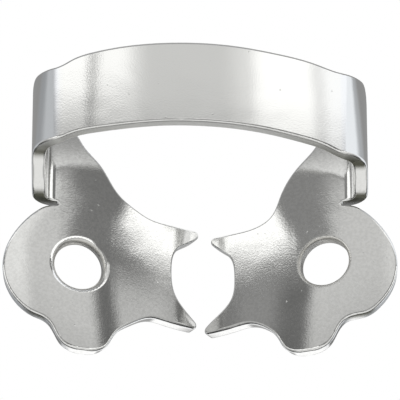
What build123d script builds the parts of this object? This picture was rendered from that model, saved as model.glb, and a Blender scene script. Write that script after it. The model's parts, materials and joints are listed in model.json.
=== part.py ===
from build123d import *
import math
import os

# Rubber dam clamp: one piece of spring steel sheet, punched, bent and tumbled.
# Millimetres. It is modelled as it sits on a tooth: X runs left to right, Y from
# the cheek side to the far side, Z up, and z = 0 is the middle of the sheet at
# the two forceps holes. At the end the clamp is leaned back until it rests on a
# table as the real one does, on a jaw prong and the far corners of its two folds.

# The sheet
SHEET = 1.05             # thickness of the steel
RIM = 0.2                # rounding of every rim

# The two plates, each bent to a large arc that falls towards the tooth
PLATE_X = 9.35           # middle of the plate, from the middle of the clamp
HOLE_RADIUS = 1.92       # the forceps holes
HOLE_RIM = 0.45          # larger rounding where the forceps enter
PLATE_RADIUS = 24.0
PLATE_SLOPE = 18.0       # slope at the middle of the plate, degrees
JAW_SLOPE = 30.0         # the jaw outline is punched square to this slope

# The bow, seen from the front, along the middle of the sheet
LEG_X = 12.4             # the upright legs, from the middle of the clamp
FOLD_RADIUS = 1.45       # where the plate turns up
SHOULDER_RADIUS = 2.6    # where the leg turns in to the arch
ARCH_RADIUS = 39.0
ARCH_MIDDLE = -1.8       # the arch is highest a little left of the middle
BOW_HEIGHT = 7.1

# The two long edges of the bow, as distances towards the far side
NEAR_FOLD = 4.1          # near edge at the folds
NEAR_TOP = 7.75          # near edge at the top of the arch
FAR_FOLD = 10.6          # far edge at the folds
FAR_SHOULDER = 12.95     # far edge at the shoulders
FAR_TOP = 14.5           # far edge at the top of the arch
LEAN_BELOW = 0.5         # the lean starts this far below the middle of the fold
LEAN_PAST = 1.4          # and stops this far above the middle of the shoulder

# The lobes: the side lobe is given round a middle, as degrees and distance
SIDE_LOBE = [(-54, 5.65), (-40, 5.85), (-23, 5.9), (-6, 5.78), (12, 5.52), (30, 5.27), (44, 5.2)]
LOBE_Y = -0.85
FRONT_Y = -8.1           # lowest place of the front lobe
FRONT_RADIUS = 2.1       # half its width
CORNER_RADIUS = 0.14     # the corner between side lobe and leg
CORNER_TURN = 36.0       # direction of the side lobe where it reaches the leg

# The jaws: p is the distance from PLATE_X towards the tooth, along JAW_SLOPE
TIP_RADIUS = 0.36        # of the two prongs of each jaw
TIP_TURN = 138.0         # how far the outline turns round a tip
NEAR_TURN = 6.0          # direction of the near edge where it reaches the low tip
FAR_TURN = 8.0           # and of the far edge where it leaves the high tip
JAW_NEAR = [(0.43, 0.9), (0.58, 0.15), (0.74, 0.1)]      # share of p, past the low prong
JAW_FAR = [(0.745, -0.2), (0.545, -0.15), (0.425, 0.35)] # share of p, past the high prong
PLATE_FAR = [(3.1, 5.1), (1.5, 2.85), (0.1, 1.35)]       # p, short of the far edge at the folds
PLATE_FAR_P = -1.2       # where the far edge of the plate meets the fold

# Bending leaves the two sides a little different
LEFT = {
    "side": -1,
    "hole": (9.35, -1.0),
    "low_tip": (10.25, -4.2),    # p and y of the prongs' outermost places
    "high_tip": (10.45, 4.25),
    "mouth": 2.45,               # depth of the jaw's arc
    "front_x": 9.2,              # lowest place of the front lobe
    "near_shoulder": 6.75,       # near edge of the bow at the shoulder
    # from there to the top of the arch: share of x, share of the rise
    "near_rise": [(0.90, 0.30), (0.70, 0.66), (0.45, 0.87)],
    "far_rise": [(0.88, 0.34), (0.73, 0.65), (0.50, 0.88)],
}
RIGHT = {
    "side": 1,
    "hole": (9.65, -0.8),
    "low_tip": (10.15, -4.7),
    "high_tip": (9.5, 3.4),
    "mouth": 2.25,
    "front_x": 8.5,
    "near_shoulder": 6.0,
    "near_rise": [(0.88, 0.23), (0.69, 0.52), (0.48, 0.74)],
    "far_rise": [(0.80, 0.30), (0.53, 0.64), (0.26, 0.88)],
}

HALF = SHEET / 2
OVERLAP = 0.9            # degrees of plate that the bow strip takes with it
REACH = 40.0             # well outside the part, for the cutters


def curve(points, start, end):
    """Smooth line through points that leaves and arrives in the given directions."""
    return Spline(*points, tangents=[start, end], tangent_scalars=[1, 1])


def polar(centre, radius, degrees):
    angle = math.radians(degrees)
    return (centre[0] + radius * math.cos(angle), centre[1] + radius * math.sin(angle))


# Centres of the arcs in the front view, for the right half
slope = math.radians(PLATE_SLOPE)
plate_centre = (PLATE_X + PLATE_RADIUS * math.sin(slope), -PLATE_RADIUS * math.cos(slope))
fold_x = LEG_X - FOLD_RADIUS
fold_turn = math.asin((plate_centre[0] - fold_x) / (PLATE_RADIUS + FOLD_RADIUS))
fold_slope = math.degrees(fold_turn)
fold_centre = polar(plate_centre, PLATE_RADIUS + FOLD_RADIUS, 90 + fold_slope)
arch_centre = (ARCH_MIDDLE, BOW_HEIGHT - ARCH_RADIUS)

# The corner between lobe and leg runs in to just where the sheet starts to turn up
corner_x = fold_x + (FOLD_RADIUS - HALF) * math.sin(fold_turn) - 0.03
corner_y = NEAR_FOLD - CORNER_RADIUS
lean_from = fold_centre[1] - LEAN_BELOW

# The near and far edges run straight from the shoulders' insides outwards
inside = SHOULDER_RADIUS - HALF
shoulder_flat = LEG_X - SHOULDER_RADIUS + math.sqrt(inside**2 - LEAN_PAST**2) - 0.2


def shoulder_centre(side):
    across = side * (LEG_X - SHOULDER_RADIUS) - arch_centre[0]
    up = math.sqrt((ARCH_RADIUS - SHOULDER_RADIUS) ** 2 - across**2)
    return (side * (LEG_X - SHOULDER_RADIUS), arch_centre[1] + up)


def arch_angle(side):
    centre = shoulder_centre(side)
    return math.degrees(math.atan2(centre[1] - arch_centre[1], centre[0] - arch_centre[0]))


def lean_to(half):
    return shoulder_centre(half["side"])[1] + LEAN_PAST


def bow_line(shift):
    """Front view of the bow from plate to plate, shifted off the middle of the sheet."""
    lines = []
    for side in (-1, 1):
        root = (side * plate_centre[0], plate_centre[1])
        fold = (side * fold_centre[0], fold_centre[1])
        shoulder = shoulder_centre(side)
        start = 90 + side * (fold_slope + OVERLAP)
        lines.append(CenterArc(root, PLATE_RADIUS - shift, start, -side * OVERLAP))
        turn = side * (90 - fold_slope)
        lines.append(CenterArc(fold, FOLD_RADIUS + shift, 270 + side * fold_slope, turn))
        leg_x = side * (LEG_X + shift)
        lines.append(Line((leg_x, fold[1]), (leg_x, shoulder[1])))
        level = 90 - side * 90
        turn = arch_angle(side) - level
        lines.append(CenterArc(shoulder, SHOULDER_RADIUS + shift, level, turn))
    left = arch_angle(-1)
    lines.append(CenterArc(arch_centre, ARCH_RADIUS + shift, left, arch_angle(1) - left))
    return lines


def plate_height(x):
    """Height of the middle of the sheet in the plates, at this distance from the middle."""
    return plate_centre[1] + math.sqrt(PLATE_RADIUS**2 - (plate_centre[0] - x) ** 2)


def plate_end(side, degrees):
    root = (side * plate_centre[0], plate_centre[1])
    angle = 90 + side * degrees
    return Line(polar(root, PLATE_RADIUS - HALF, angle), polar(root, PLATE_RADIUS + HALF, angle))


def wide_band(outline):
    """A band of sheet with this front view, far wider than the clamp."""
    front_view = Plane(origin=(0, 0, 0), x_dir=(1, 0, 0), z_dir=(0, -1, 0))
    return extrude(front_view * make_face(outline), amount=REACH, both=True)


def bow_band():
    ends = [plate_end(side, fold_slope + OVERLAP) for side in (-1, 1)]
    return wide_band(bow_line(-HALF) + bow_line(HALF) + ends)


def plate_band(side):
    """Runs from beyond the side lobe to beyond the prongs."""
    widest = PLATE_X + max(distance for degrees, distance in SIDE_LOBE)
    inner = math.degrees(math.asin((plate_centre[0] + HALF) / PLATE_RADIUS))
    outer = math.degrees(math.asin((plate_centre[0] - widest - SHEET) / PLATE_RADIUS))
    root = (side * plate_centre[0], plate_centre[1])
    start = 90 + side * outer
    turn = side * (inner - outer)
    arcs = [CenterArc(root, PLATE_RADIUS + off, start, turn) for off in (-HALF, HALF)]
    return wide_band(arcs + [plate_end(side, outer), plate_end(side, inner)])


def front_lobe(centre_x, turn):
    """Two points on the round of the front lobe, to the side that turn says."""
    centre = (centre_x, FRONT_Y + FRONT_RADIUS)
    return [polar(centre, FRONT_RADIUS, -90 + turn * angle) for angle in (42, 76)]


def prong_tip(p, y, start):
    """The round of one prong, with its two ends, turned from the angle start."""
    centre = (p - TIP_RADIUS, y)
    first, middle, last = [
        polar(centre, TIP_RADIUS, start + share * TIP_TURN) for share in (0, 0.5, 1)
    ]
    return ThreePointArc(first, middle, last), first, last


def jaw_outline(half):
    """Half the front lobe, the neck, the jaw and the far edge of one plate."""
    side = half["side"]
    low_p, low = half["low_tip"]
    high_p, high = half["high_tip"]
    front_p = (PLATE_X - half["front_x"] + HALF) / math.cos(slope)
    low_tip, low_start, low_end = prong_tip(low_p, low + TIP_RADIUS, NEAR_TURN - 90)
    high_tip, high_start, high_end = prong_tip(high_p, high - TIP_RADIUS, 90 + FAR_TURN - TIP_TURN)
    neck = [(share * low_p, low - past) for share, past in JAW_NEAR]
    near_points = [(front_p, FRONT_Y), *front_lobe(front_p, 1), *neck, low_start]
    near = curve(near_points, (1, 0), polar((0, 0), 1, NEAR_TURN))
    mouth_p = min(low_p, high_p) - half["mouth"]
    middle = (low + high) / 2
    spread = 0.2 * (high - low)
    deep = mouth_p + 0.12 * half["mouth"]
    mouth = curve(
        [low_end, (deep, middle - spread), (mouth_p, middle), (deep, middle + spread), high_start],
        polar((0, 0), 1, NEAR_TURN + TIP_TURN),
        polar((0, 0), 1, 180 + FAR_TURN - TIP_TURN),
    )
    jaw = [(share * high_p, high + past) for share, past in JAW_FAR]
    plate = [(p, FAR_FOLD - short) for p, short in PLATE_FAR]
    far_points = [high_end, *jaw, *plate, (PLATE_FAR_P, FAR_FOLD)]
    far = curve(far_points, polar((0, 0), 1, 180 + FAR_TURN), (-1, 0))
    back = Polyline(
        (PLATE_FAR_P, FAR_FOLD), (-REACH, FAR_FOLD), (-REACH, FRONT_Y), (front_p, FRONT_Y)
    )
    tilt = math.radians(JAW_SLOPE)
    punch = Plane(
        origin=(side * PLATE_X, 0, 0),
        x_dir=(-side * math.cos(tilt), 0, -math.sin(tilt)),
        z_dir=(math.sin(tilt), 0, -side * math.cos(tilt)),
    )
    outline = make_face([near, low_tip, mouth, high_tip, far, back])
    return extrude(punch * outline, amount=REACH, both=True)


def lobe_outline():
    """Plan of the front lobes and side lobes, open towards the bow."""
    turn = math.radians(CORNER_TURN)
    end_x = LEG_X - 0.1
    rise = (end_x - corner_x) * math.tan(turn / 2)
    inlet_y = corner_y - CORNER_RADIUS
    lines = []
    for half in (LEFT, RIGHT):
        side = half["side"]
        front = half["front_x"]
        middle = (PLATE_X, LOBE_Y)
        points = [(front, FRONT_Y), *front_lobe(front, 1)]
        points.append((front + 1.25 * FRONT_RADIUS, FRONT_Y + 1.1 * FRONT_RADIUS))
        points += [polar(middle, distance, degrees) for degrees, distance in SIDE_LOBE]
        points.append((end_x, inlet_y - rise))
        arrive = (-side * math.cos(turn), math.sin(turn))
        lines.append(curve([(side * x, y) for x, y in points], (side, 0), arrive))
        lines.append(TangentArc(
            (side * end_x, inlet_y - rise), (side * corner_x, inlet_y), tangent=arrive
        ))
        lines.append(ThreePointArc(
            (side * corner_x, inlet_y),
            (side * (corner_x - CORNER_RADIUS), corner_y),
            (side * corner_x, NEAR_FOLD),
        ))
        lines.append(Polyline(
            (side * corner_x, NEAR_FOLD), (side * REACH, NEAR_FOLD), (side * REACH, REACH)
        ))
    lines.append(Line((-LEFT["front_x"], FRONT_Y), (RIGHT["front_x"], FRONT_Y)))
    lines.append(Line((-REACH, REACH), (REACH, REACH)))
    return extrude(make_face(lines), amount=REACH, both=True)


def leg_side_view(half):
    """Side view of one leg: it leans back as it rises to the shoulder."""
    top = lean_to(half)
    shoulder = half["near_shoulder"]
    near = curve([(NEAR_FOLD, lean_from), (shoulder, top)], (0, 1), (0, 1))
    far = curve([(FAR_FOLD, lean_from), (FAR_SHOULDER, top)], (0, 1), (0, 1))
    below = Polyline(
        (NEAR_FOLD, lean_from), (NEAR_FOLD, -REACH), (FAR_FOLD, -REACH), (FAR_FOLD, lean_from)
    )
    above = Polyline(
        (shoulder, top), (-REACH, top), (-REACH, REACH),
        (REACH, REACH), (REACH, top), (FAR_SHOULDER, top),
    )
    outline = make_face([near, far, below, above])
    return extrude(Plane.YZ * outline, amount=half["side"] * REACH)


def bow_far_plan():
    """Plan of all that lies short of the bow's far edge, which bulges over the arch."""
    rise = FAR_TOP - FAR_SHOULDER
    left, right = [
        [
            (half["side"] * share * shoulder_flat, FAR_SHOULDER + up * rise)
            for share, up in [(1, 0), *half["far_rise"]]
        ]
        for half in (LEFT, RIGHT)
    ]
    points = [*left, (ARCH_MIDDLE, FAR_TOP), *reversed(right)]
    rest = Polyline(
        (-shoulder_flat, FAR_SHOULDER), (-REACH, FAR_SHOULDER), (-REACH, -REACH),
        (REACH, -REACH), (REACH, FAR_SHOULDER), (shoulder_flat, FAR_SHOULDER),
    )
    return extrude(make_face([curve(points, (1, 0), (1, 0)), rest]), amount=REACH, both=True)


def bow_near_plan(half):
    """What is cut away in front of the arch, above the height where the leg's lean stops."""
    side = half["side"]
    shoulder = half["near_shoulder"]
    rise = NEAR_TOP - shoulder
    points = [
        (side * share * shoulder_flat, shoulder + up * rise)
        for share, up in [(1, 0), *half["near_rise"]]
    ]
    points.append((ARCH_MIDDLE, NEAR_TOP))
    rest = Polyline(
        (side * shoulder_flat, shoulder), (side * REACH, shoulder), (side * REACH, -REACH),
        (ARCH_MIDDLE, -REACH), (ARCH_MIDDLE, NEAR_TOP),
    )
    cut = extrude(make_face([curve(points, (-side, 0), (-side, 0)), rest]), amount=REACH)
    return Pos(0, 0, lean_to(half)) * cut


def rims(solid):
    """Edges where a face of the sheet meets a punched wall."""
    found = []
    faces = solid.faces()
    for edge in solid.edges():
        middle = edge.position_at(0.5)
        sides = [face for face in faces if any(edge.is_same(other) for other in face.edges())]
        normals = [face.normal_at(middle) for face in sides]
        if len(normals) == 2 and normals[0].get_angle(normals[1]) > 30:
            found.append(edge)
    return found


# The bow: cut the band to its two long edges
beyond_corner = Pos(0, corner_y + REACH / 2, 0) * Box(2 * REACH, REACH, 2 * REACH)
clamp = bow_band() & beyond_corner & bow_far_plan() & (leg_side_view(LEFT) + leg_side_view(RIGHT))
for half in (LEFT, RIGHT):
    clamp = clamp - bow_near_plan(half)

# The plates: cut each to its jaw, leave out what turns up into the leg, and join it on
for half in (LEFT, RIGHT):
    side = half["side"]
    leg_room = Pos(side * (corner_x + REACH / 2), corner_y + REACH / 2, 0)
    leg_room = leg_room * Box(REACH, REACH, 2 * REACH)
    clamp = clamp + ((plate_band(side) & jaw_outline(half)) - leg_room)
clamp = clamp & lobe_outline()

# The forceps holes go square through the plates
for half in (LEFT, RIGHT):
    side = half["side"]
    lean = math.asin((plate_centre[0] - half["hole"][0]) / PLATE_RADIUS)
    hole_axis = (-side * math.sin(lean), 0, math.cos(lean))
    hole_x, hole_y = half["hole"]
    hole_z = plate_height(hole_x)
    hole = Plane(origin=(side * hole_x, hole_y, hole_z), z_dir=hole_axis)
    clamp = clamp - hole * Cylinder(HOLE_RADIUS, 6 * SHEET)

# Round the upper rim of the holes, then every other rim
clamp = clamp.clean().solids()[0]
hole_tops = []
for edge in rims(clamp):
    middle = edge.position_at(0)
    for half in (LEFT, RIGHT):
        hole_x, hole_y = half["hole"]
        off = math.hypot(middle.X - half["side"] * hole_x, middle.Y - hole_y)
        above = edge.center().Z > 0
        if off < HOLE_RADIUS + HALF and above and edge.length > HOLE_RADIUS:
            hole_tops.append(edge)
clamp = clamp.fillet(min(HOLE_RIM, 0.45 * SHEET), hole_tops)
clamp = clamp.fillet(min(RIM, 0.4 * SHEET), rims(clamp))

# Lean it back until the prongs and the folds touch the table together
points, triangles = clamp.tessellate(0.01, 0.1)
jaw_points = [(p.Y, p.Z) for p in points if abs(p.X) < PLATE_X / 2]
fold_points = [(p.Y, p.Z) for p in points if abs(p.X) > corner_x]


def lowest(some, lean):
    return min(z * math.cos(lean) - y * math.sin(lean) for y, z in some)


least, most = 0.0, math.radians(80)
while most - least > 1e-5:
    lean = (least + most) / 2
    if lowest(jaw_points, lean) < lowest(fold_points, lean):
        least = lean
    else:
        most = lean
clamp = Rot(-math.degrees(lean), 0, 0) * clamp
box = clamp.bounding_box()
clamp = Pos(-box.center().X, -box.center().Y, -box.min.Z) * clamp
clamp.label = "clamp"

os.makedirs("parts", exist_ok=True)
export_step(clamp, "parts/clamp.step")
print("clamp", clamp.is_valid, "volume", round(clamp.volume, 1), "lean", round(math.degrees(lean), 2))
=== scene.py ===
# %% [markdown]
# # A rubber dam clamp in polished spring steel
#
# The clamp is one bent piece of steel, so the whole lesson is about one material and
# what it mirrors. The CAD model is kept as it is: its rims are already rounded. We
# give it a steel that is a little uneven, as tumbled steel is, and build a small
# photo studio round it: a white table, and a sky with a few soft light and dark
# panels that the bent sheet can show.
#
# Lengths are in metres. X runs from left to right, Y from the jaws' front lobes to the
# bow, which is up in the picture, and Z up from the table.

import json
import math

import bpy
from mathutils import Matrix, Vector

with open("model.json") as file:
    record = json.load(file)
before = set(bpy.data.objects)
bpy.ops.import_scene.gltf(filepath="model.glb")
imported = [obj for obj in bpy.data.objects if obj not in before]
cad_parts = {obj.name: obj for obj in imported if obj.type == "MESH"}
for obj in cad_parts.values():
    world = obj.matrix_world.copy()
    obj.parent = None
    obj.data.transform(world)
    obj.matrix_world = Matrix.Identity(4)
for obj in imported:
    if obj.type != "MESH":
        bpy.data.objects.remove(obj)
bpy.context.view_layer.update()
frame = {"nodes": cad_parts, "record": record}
clamp = frame["nodes"]["clamp"]

# %% [markdown]
# ## A few helpers for node trees
#
# A material is a small graph. These helpers add one node, set its inputs and return
# the socket that comes out, so that each recipe below reads as one line per step.


# %% Node helpers
def add_node(tree, kind, inputs=(), **settings):
    """Add a node, set its own settings, and fill its inputs by position or by name."""
    node = tree.nodes.new(kind)
    for name, value in settings.items():
        setattr(node, name, value)
    pairs = inputs.items() if isinstance(inputs, dict) else enumerate(inputs)
    for key, value in pairs:
        if isinstance(value, bpy.types.NodeSocket):
            tree.links.new(value, node.inputs[key])
        else:
            node.inputs[key].default_value = value
    return node


def maths(tree, operation, *values):
    return add_node(tree, "ShaderNodeMath", values, operation=operation).outputs[0]


def vector_maths(tree, operation, *values):
    """Maths on vectors. A dot product and a length come out as plain numbers."""
    node = add_node(tree, "ShaderNodeVectorMath", values, operation=operation)
    return node.outputs["Value" if operation in ("DOT_PRODUCT", "LENGTH") else "Vector"]


def between(tree, value, low, high, out_low=0.0, out_high=1.0):
    """A smooth step: out_low below low, out_high above high."""
    inputs = (value, low, high, out_low, out_high)
    node = add_node(tree, "ShaderNodeMapRange", inputs, interpolation_type="SMOOTHSTEP")
    return node.outputs[0]


def mix(tree, share, first, second):
    """first where share is 0, second where it is 1, as plain numbers."""
    inputs = {0: share, 2: first, 3: second}
    return add_node(tree, "ShaderNodeMix", inputs, data_type="FLOAT").outputs[0]


def mix_colour(tree, share, first, second):
    """The same for colours."""
    inputs = {0: share, 6: first, 7: second}
    return add_node(tree, "ShaderNodeMix", inputs, data_type="RGBA").outputs[2]


def steps(tree, value, start, *changes):
    """start, then each (low, high, number): from low to high it turns into that number."""
    result = start
    for low, high, number in changes:
        result = mix(tree, between(tree, value, low, high), result, number)
    return result


def fresh_tree(owner):
    owner.use_nodes = True
    owner.node_tree.nodes.clear()
    return owner.node_tree


WHITE = (1.0, 1.0, 1.0, 1.0)
print("helpers ready")

# %% [markdown]
# ## Places on the clamp
#
# Some finishes belong to one place only: the real clamp is polished, but the edges that
# the punch has cut stay rough. We could paint a mask for each place. A mask worked out
# from coordinates is shorter, and stays sharp.
#
# The sheet of the plates leans on the table, and we measure in its directions: `along`
# it, from the forceps holes towards the bow, and `above` it. Then `above` alone tells
# the two plates from the bow and its legs, and the punched edges of the bow and legs
# are where these face against `along`.

# %% Places on the clamp
LEAN = math.radians(41.11)
BETWEEN_HOLES = Vector((0.0, -0.004431, 0.007009))
ALONG = Vector((0.0, math.cos(LEAN), -math.sin(LEAN)))
ABOVE = Vector((0.0, math.sin(LEAN), math.cos(LEAN)))
PLATES_END, LEGS_START = 0.0018, 0.0035
HOLE_WALL, HOLE_RIM = 0.00200, 0.00225

steel = bpy.data.materials.new("steel")
tree = fresh_tree(steel)
place = add_node(tree, "ShaderNodeTexCoord")
where, normal = place.outputs["Object"], place.outputs["Normal"]
from_holes = vector_maths(tree, "SUBTRACT", where, BETWEEN_HOLES)
along = vector_maths(tree, "DOT_PRODUCT", from_holes, ALONG)
above = vector_maths(tree, "DOT_PRODUCT", from_holes, ABOVE)
on_plates = between(tree, above, PLATES_END, LEGS_START, 1.0, 0.0)

in_hole = 0.0
for mount in frame["record"]["mounts"]:
    from_axis = vector_maths(tree, "SUBTRACT", where, Vector(mount["pos_m"]))
    from_axis = vector_maths(tree, "CROSS_PRODUCT", from_axis, Vector(mount["axis"]))
    distance = vector_maths(tree, "LENGTH", from_axis)
    wall = between(tree, distance, HOLE_WALL, HOLE_RIM, 1.0, 0.0)
    in_hole = maths(tree, "ADD", in_hole, wall)

facing = vector_maths(tree, "DOT_PRODUCT", normal, -ALONG)
faces_jaws = between(tree, facing, 0.70, 0.92)
punched = maths(tree, "MULTIPLY", faces_jaws, between(tree, above, 0.0002, 0.0012))
rough_share = maths(tree, "MAXIMUM", in_hole, punched)

# %% [markdown]
# ## Dish, twist and crown
#
# The real sheet isn't quite as straight as the model: the plates are slightly dished
# and twisted, and the bow is slightly crowned. We could bend the mesh, but a few degrees
# are enough to change what a mirror shows, and they don't show in the outline. So the
# mesh stays as it is and only its normals turn: against `along` for the dish and the
# crown, and sideways for the twist.

# %% Dish, twist and crown
DISH_AT_HOLES, DISH_PER_METRE = 0.14, 10.0
BOW_FAR_EDGE, CROWN_PER_METRE = 0.0145, 8.0
TWIST, FULL_TWIST_AT = 0.12, 0.0065

dish = maths(tree, "MULTIPLY_ADD", along, DISH_PER_METRE, DISH_AT_HOLES)
crown = maths(tree, "MULTIPLY_ADD", along, CROWN_PER_METRE, -CROWN_PER_METRE * BOW_FAR_EDGE)
inputs = {0: -ALONG, "Scale": mix(tree, on_plates, crown, dish)}
tilt = add_node(tree, "ShaderNodeVectorMath", inputs, operation="SCALE").outputs[0]

side = maths(tree, "SIGN", add_node(tree, "ShaderNodeSeparateXYZ", (where,)).outputs[0])
twist = maths(tree, "MULTIPLY", between(tree, along, 0.0, FULL_TWIST_AT, 0.0, TWIST), on_plates)
twist = maths(tree, "MULTIPLY", twist, side)
twist = add_node(tree, "ShaderNodeCombineXYZ", (twist,)).outputs[0]

turned = vector_maths(tree, "ADD", normal, tilt)
turned = vector_maths(tree, "ADD", turned, twist)
turned = vector_maths(tree, "NORMALIZE", turned)
print("normals turned, by up to", round(math.degrees(math.atan(TWIST)), 1), "degrees of twist")

# %% [markdown]
# ## Waviness, grain and pits
#
# Tumbling leaves a low waviness, so that the edges of the mirrored panels wander a
# little. Finer than that are the grain, which is strong only where the sheet was
# punched, and a few tiny pits. As real dents they would need a very dense mesh. Bump
# nodes, each laid over the one before, look the same in a mirror.


# %% Waviness, grain and pits
def noise(tree, where, scale, detail, roughness):
    inputs = {"Vector": where, "Scale": scale, "Detail": detail, "Roughness": roughness}
    return add_node(tree, "ShaderNodeTexNoise", inputs).outputs[0]


def bump(tree, height, normal, strength, distance):
    inputs = {"Strength": strength, "Distance": distance, "Height": height, "Normal": normal}
    return add_node(tree, "ShaderNodeBump", inputs).outputs[0]


waves = noise(tree, where, scale=200.0, detail=2.0, roughness=0.5)
grain = noise(tree, where, scale=8000.0, detail=3.0, roughness=0.6)
inputs = {"Vector": where, "Scale": 900.0, "Randomness": 1.0}
from_pit = add_node(tree, "ShaderNodeTexVoronoi", inputs).outputs[0]
pits = between(tree, from_pit, 0.03, 0.07, -1.0, 0.0)
grain_strength = mix(tree, rough_share, 0.05, 0.5)

surface = bump(tree, waves, turned, strength=0.016, distance=0.0012)
surface = bump(tree, grain, surface, strength=grain_strength, distance=0.00005)
surface = bump(tree, pits, surface, strength=0.15, distance=0.00003)
print("three bumps ready")

# %% [markdown]
# ## The steel itself
#
# Polished steel is nearly all reflection, so its colour is light and its roughness low.
# The roughness varies a little with the waves, and the plates have a faint speckle. The
# walls of the holes and the punched edges are rougher and darker. Those of the legs are
# darkest: there the colour is painted shade, nearly black, because little light gets there.

# %% The steel itself
SPECKLE_DARK = (0.77, 0.77, 0.76, 1.0)
SPECKLE_LIGHT = (0.84, 0.84, 0.83, 1.0)
HOLE_COLOUR = (0.58, 0.57, 0.54, 1.0)
PUNCHED_EDGE_AND_SHADE_COLOUR = (0.14, 0.14, 0.11, 1.0)
PUNCHED_ROUGHNESS = 0.32
BOW_SPECKLE = 0.72
LEGS_END, BOW_STARTS = 0.0040, 0.0062

roughness = between(tree, waves, 0.35, 0.65, 0.05, 0.09)
roughness = mix(tree, rough_share, roughness, PUNCHED_ROUGHNESS)

speckle = noise(tree, where, scale=4500.0, detail=1.0, roughness=0.5)
speckle = mix(tree, on_plates, BOW_SPECKLE, between(tree, speckle, 0.32, 0.68))
colour = mix_colour(tree, speckle, SPECKLE_DARK, SPECKLE_LIGHT)
colour = mix_colour(tree, in_hole, colour, HOLE_COLOUR)
# Punched edges: a near-black colour, in full on the legs as painted shade, and a quarter of it
# on the bow for their rougher, darker finish.
punched_tone_and_shade = maths(tree, "MULTIPLY", punched, between(tree, above, LEGS_END, BOW_STARTS, 1.0, 0.25))
colour = mix_colour(tree, punched_tone_and_shade, colour, PUNCHED_EDGE_AND_SHADE_COLOUR)

inputs = {"Base Color": colour, "Metallic": 1.0, "Roughness": roughness, "Normal": surface}
shader = add_node(tree, "ShaderNodeBsdfPrincipled", inputs).outputs[0]
add_node(tree, "ShaderNodeOutputMaterial", (shader,))

for slot in clamp.material_slots:
    slot.material = steel
for polygon in clamp.data.polygons:
    polygon.material_index = 0
print("steel has", len(tree.nodes), "nodes")

# %% [markdown]
# ## The table
#
# The photograph's ground is pure white without a shadow, which a product photographer
# gets by lighting the table as strongly as the object. Strong lamps would wash out the
# steel here, so the table glows by itself, and shows as white to the camera.
#
# What the steel sees of it is another matter. A photographer lays white and black card
# round a mirror, and so do we, as bands of the table: white far in front, dark before
# the legs and beside them, a white strip between them, and white again far to the
# right, for the bow's shoulder. Away from the middle the table is a little blue.

# %% Table
COOL_TABLE = (0.93, 0.96, 1.0, 1.0)
FRONT_CARD = (-0.024, -0.020)
LEGS_FRONT = (-0.007, -0.003)
LEGS_INSIDE = (0.0095, 0.0110)
LEGS_OUTSIDE = (0.0120, 0.0132)
BOW_FRONT = (0.0, 0.003)
MIDDLE_END = (0.0165, 0.0195)
LEFT_CARD = (-0.032, -0.020)
RIGHT_CARD = (0.020, 0.027)

bpy.ops.mesh.primitive_plane_add(size=4.0)
table = bpy.context.object
table.name = "table"

paper = bpy.data.materials.new("paper")
tree = fresh_tree(paper)
where = add_node(tree, "ShaderNodeTexCoord").outputs["Object"]
x, y = add_node(tree, "ShaderNodeSeparateXYZ", (where,)).outputs[:2]
across = maths(tree, "ABSOLUTE", x)

before_legs = between(tree, across, *LEGS_INSIDE, 0.42, 0.22)
between_legs = between(tree, y, *BOW_FRONT, 1.1, 0.42)
at_legs = mix(tree, between(tree, across, *LEGS_OUTSIDE), between_legs, 0.32)
middle = mix(tree, between(tree, y, *LEGS_FRONT), before_legs, at_legs)
middle = mix(tree, between(tree, y, *FRONT_CARD, 1.0, 0.0), middle, 1.2)

far_left = between(tree, x, *LEFT_CARD, 0.60, 0.38)
far_right = between(tree, x, *RIGHT_CARD, 0.50, 1.05)
outer = mix(tree, between(tree, x, -0.01, 0.01), far_left, far_right)
in_middle = between(tree, across, *MIDDLE_END, 1.0, 0.0)
mirrored = mix(tree, in_middle, outer, middle)

to_camera = add_node(tree, "ShaderNodeLightPath").outputs["Is Camera Ray"]
brightness = mix(tree, to_camera, mirrored, 1.0)
cool = maths(tree, "SUBTRACT", 1.0, maths(tree, "MAXIMUM", in_middle, to_camera))
tint = mix_colour(tree, cool, WHITE, COOL_TABLE)
glow = add_node(tree, "ShaderNodeEmission", {"Color": tint, "Strength": brightness}).outputs[0]
add_node(tree, "ShaderNodeOutputMaterial", (glow,))
table.data.materials.append(paper)
print("table", table.dimensions[:])

# %% [markdown]
# ## The directions of the sky
#
# Everything else that the steel mirrors is the sky. Lamps with soft boxes could stand
# there, but each spot of a mirror looks in one direction only, so it is simpler to
# write the sky as brightness by direction.
#
# `turn` is the compass direction in degrees, 0 towards +Y and positive to the right,
# `away` is its size, and `rise` is the sine of the height above the horizon. A straight
# bow would show one curved line of the sky from end to end. `lift` is how far above
# that line we look: about 0 for the bow, and 0.15 to 0.45 for the plates.

# %% Directions of the sky
BOW_LINE_HEIGHT, BOW_LINE_BEND = 0.404, -1.3e-4

world = bpy.data.worlds.new("studio")
bpy.context.scene.world = world
tree = fresh_tree(world)
direction = add_node(tree, "ShaderNodeTexCoord").outputs["Generated"]
x, y, rise = add_node(tree, "ShaderNodeSeparateXYZ", (direction,)).outputs
turn = maths(tree, "MULTIPLY", maths(tree, "ARCTAN2", x, y), 180.0 / math.pi)
away = maths(tree, "ABSOLUTE", turn)
turn_squared = maths(tree, "MULTIPLY", turn, turn)
line = maths(tree, "MULTIPLY_ADD", turn_squared, BOW_LINE_BEND, BOW_LINE_HEIGHT)
lift = maths(tree, "SUBTRACT", rise, line)
print("turn, rise and lift ready")

# %% [markdown]
# ## The panels that the bow shows
#
# The flat middle of the bow looks at turn 0, at a calm light grey. To the left comes a
# bright panel with a thin dark gap in it, and to the right a brighter one, with a faint
# gap. On the left the lower part of the bow is a little darker.

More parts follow.
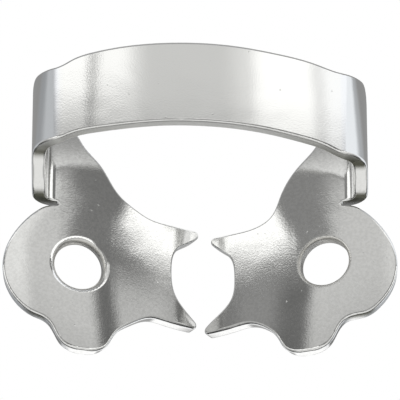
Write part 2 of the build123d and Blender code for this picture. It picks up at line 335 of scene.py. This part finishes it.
# %% Panels for the bow
for_bow = steps(
    tree, turn, 0.52,
    (-54, -36, 1.24), (-19.8, -19.0, 0.50), (-18.2, -17.3, 1.2), (-13, -7, 0.70),
    (9, 15.5, 0.88), (15.5, 18, 1.28), (28.4, 29.3, 0.92), (30.2, 31.4, 1.22), (80, 90, 0.5),
)
lower_part = between(tree, lift, -0.120, -0.084, 1.0, 0.0)
lower_left = maths(tree, "MULTIPLY", lower_part, between(tree, turn, -13, -8, 1.0, 0.0))
for_bow = maths(tree, "MULTIPLY", for_bow, mix(tree, lower_left, 1.0, 0.60))
print("panels for the bow ready")

# %% [markdown]
# ## The panels that the plates show
#
# The plates fall towards the jaws, so the left plate looks to the right, at positive
# turns, and the right plate to the left. Each side has a grey low panel with a dark
# wedge in it, a dark panel over it, and a white one that stands far to the side. The
# white panel of the left plate has a slanting lower edge.

# %% Panels for the plates
left_low = steps(
    tree, away, 0.90,
    (14.5, 19.5, 0.67), (41, 43.5, 0.155), (47.5, 50.0, 0.57), (62, 70, 0.38),
)
left_dark = steps(tree, away, 0.36, (19, 26, 0.20), (48, 60, 0.235))
slanted = maths(tree, "MULTIPLY_ADD", away, 0.0035, maths(tree, "SUBTRACT", lift, 0.1995))
left_edge = between(tree, slanted, 0.342, 0.380)
left_white = maths(tree, "MULTIPLY", left_edge, between(tree, away, 46.5, 51.5))

right_low = steps(
    tree, away, 0.76,
    (9, 14, 0.65), (38.5, 42.0, 0.17), (47, 55, 0.30), (60, 66, 0.22),
)
right_dark = steps(tree, away, 0.38, (20, 27, 0.26))
right_edge = between(tree, lift, 0.330, 0.352)
right_white = maths(tree, "MULTIPLY", right_edge, between(tree, away, 46, 50))

on_left = between(tree, turn, -2, 2)
low = mix(tree, on_left, right_low, left_low)
low = maths(tree, "MULTIPLY", low, between(tree, lift, 0.17, 0.23, 0.86, 1.0))
dark = mix(tree, on_left, right_dark, left_dark)
dark_from = between(tree, away, 28, 35.5, 0.326, 0.287)
is_dark = between(tree, maths(tree, "SUBTRACT", lift, dark_from), 0.0, 0.013)
white = steps(tree, away, 1.35, (70, 76, 0.50))
is_white = mix(tree, on_left, right_white, left_white)
for_plates = mix(tree, is_white, mix(tree, is_dark, low, dark), white)
print("panels for the plates ready")

# %% [markdown]
# ## The whole sky
#
# From low to high we meet a dim strip, the bow's panels and the plates' panels. In
# front of the clamp is a dark room with one soft light high up. The camera itself sees
# plain white. To the sides, low down, the sky has a touch of blue, which the ends of
# the bow show.

# %% The whole sky
WARM_SKY = (1.0, 1.0, 0.985, 1.0)
COOL_SKY = (0.94, 0.96, 1.0, 1.0)

panels = steps(tree, lift, 0.22, (-0.22, -0.10, for_bow), (0.05, 0.10, for_plates))
room = between(tree, rise, 0.35, 0.75, 0.06, 0.9)
brightness = mix(tree, between(tree, away, 95.0, 125.0), panels, room)
to_camera = add_node(tree, "ShaderNodeLightPath").outputs["Is Camera Ray"]
brightness = mix(tree, to_camera, brightness, 1.0)

low_down = between(tree, lift, 0.0, 0.1, 1.0, 0.0)
cool = maths(tree, "MULTIPLY", between(tree, away, 25, 45), low_down)
tint = mix_colour(tree, cool, WARM_SKY, COOL_SKY)
tint = mix_colour(tree, to_camera, tint, WHITE)
sky = add_node(tree, "ShaderNodeBackground", {"Color": tint, "Strength": brightness}).outputs[0]
add_node(tree, "ShaderNodeOutputWorld", (sky,))
print("sky has", len(tree.nodes), "nodes")

# %% [markdown]
# ## The camera
#
# The photograph was taken from high above with a long lens, so the camera stands
# 0.3 m away. It is aimed at the point between the forceps holes from which we measured
# above. The lens is shifted so that this point lies a little below the middle of the
# picture. Aiming elsewhere would place it there as well, but would turn the view.

# %% Camera
TOWARDS_CAMERA = Vector((0.0, 0.27745, 0.96074))
UPWARDS = Vector((0.0, 0.96074, -0.27745))
DISTANCE = 0.3
SENSOR = 36.0
PIXELS = 400
PIXELS_PER_METRE = 13000
AIM_ROW = 255

camera_data = bpy.data.cameras.new("camera")
camera = bpy.data.objects.new("camera", camera_data)
bpy.context.collection.objects.link(camera)
camera.location = BETWEEN_HOLES + DISTANCE * TOWARDS_CAMERA
sideways = UPWARDS.cross(TOWARDS_CAMERA)
camera_axes = Matrix((sideways, UPWARDS, TOWARDS_CAMERA)).transposed()
camera.rotation_euler = camera_axes.to_euler()
camera_data.sensor_width = SENSOR
camera_data.lens = SENSOR * DISTANCE * PIXELS_PER_METRE / PIXELS
camera_data.shift_y = (AIM_ROW - PIXELS / 2) / PIXELS
camera_data.clip_start = 0.01
bpy.context.scene.camera = camera
print("lens", round(camera_data.lens, 1), "mm")

# %% [markdown]
# ## Finish
#
# The view transform stays plain, so that white is white.

# %% Finish
bpy.context.scene.view_settings.view_transform = "Standard"
